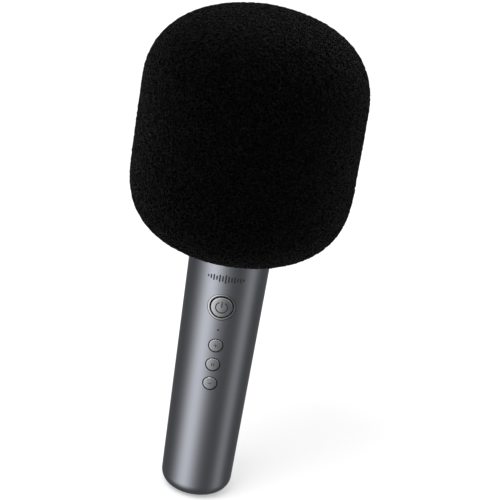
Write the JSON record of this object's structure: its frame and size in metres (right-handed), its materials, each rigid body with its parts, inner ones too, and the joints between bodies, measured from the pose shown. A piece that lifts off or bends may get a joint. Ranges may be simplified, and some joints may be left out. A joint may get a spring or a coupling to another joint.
{
  "type": "microphone",
  "caption": "Wireless karaoke microphone: a tapered metal handle with push buttons and a large foam head that hides a loudspeaker and the microphone capsule.",
  "frame": {"origin": "centre of the handle's flat end face, which is the middle of the bottom of its box", "axes": "+Z along the handle towards the foam head; the buttons face -Y; +X is to the right of someone facing the buttons"},
  "size_m": [0.1, 0.1, 0.2328],
  "materials": {
    "handle_metal": "anodised satin, gunmetal",
    "button_metal": "turned satin",
    "foam": "open-cell foam, black",
    "black_plastic": "moulded, black",
    "grey_plastic": "moulded, grey",
    "clear_plastic": "clear",
    "steel": "stamped",
    "circuit_board": "green solder mask",
    "chip": "moulded, black",
    "battery_wrap": "blue shrink wrap over a metal can",
    "rubber": "moulded, black",
    "paper_cone": "pressed cone",
    "capsule_brass": "turned",
    "wire": "insulated lead"
  },
  "bodies": {
    "body": {"amplifier_chip": "chip", "audio_jack": "black_plastic", "battery_cell": "battery_wrap", "battery_lead": "wire", "battery_socket": "black_plastic", "bluetooth_chip": "chip", "board_screw_1": "steel", "board_screw_2": "steel", "button_guide": "grey_plastic", "cage_lower": "black_plastic", "cage_screw_1": "steel", "cage_screw_2": "steel", "cage_upper": "black_plastic", "capsule_filter": "foam", "capsule_holder": "grey_plastic", "capsule_mount": "rubber", "charge_inductor": "chip", "collar_screw_1": "steel", "collar_screw_2": "steel", "collar_screw_3": "steel", "end_cap": "black_plastic", "handle_shell": "handle_metal", "inner_chassis": "grey_plastic", "key_board": "circuit_board", "led_light_pipe": "clear_plastic", "main_board": "circuit_board", "mic_capsule": "capsule_brass", "mic_lead": "wire", "mic_socket": "black_plastic", "minus_switch": "steel", "mode_switch": "steel", "neck_collar": "black_plastic", "plus_switch": "steel", "port_board": "circuit_board", "power_button_bezel": "handle_metal", "power_switch": "steel", "radiator_plate": "paper_cone", "radiator_surround": "rubber", "speaker_box_front": "grey_plastic", "speaker_box_rear": "grey_plastic", "speaker_cone": "paper_cone", "speaker_frame": "steel", "speaker_isolator": "rubber", "speaker_lead": "wire", "speaker_magnet": "steel", "speaker_socket": "black_plastic", "speaker_surround": "rubber", "status_led": "clear_plastic", "usb_c_shell": "steel", "usb_c_tongue": "black_plastic"},
    "windscreen": {"foam_windscreen": "foam"},
    "power_key": {"power_button": "button_metal", "power_plunger": "black_plastic"},
    "plus_key": {"plus_button": "button_metal", "plus_plunger": "black_plastic"},
    "mode_key": {"mode_button": "button_metal", "mode_plunger": "black_plastic"},
    "minus_key": {"minus_button": "button_metal", "minus_plunger": "black_plastic"}
  },
  "joints": [
    {"name": "power_press", "type": "slide", "parent": "body", "child": "power_key", "axis": [0, 1, 0], "range_m": [0, 0.0005], "stiffness_N_per_m": 800},
    {"name": "plus_press", "type": "slide", "parent": "body", "child": "plus_key", "axis": [0, 1, 0], "range_m": [0, 0.0004], "stiffness_N_per_m": 800},
    {"name": "mode_press", "type": "slide", "parent": "body", "child": "mode_key", "axis": [0, 1, 0], "range_m": [0, 0.0004], "stiffness_N_per_m": 800},
    {"name": "minus_press", "type": "slide", "parent": "body", "child": "minus_key", "axis": [0, 1, 0], "range_m": [0, 0.0004], "stiffness_N_per_m": 800},
    {"name": "windscreen_pull", "type": "slide", "parent": "body", "child": "windscreen", "axis": [0, 0, 1], "range_m": [0, 0.112], "deforming": ["foam_windscreen"]}
  ]
}
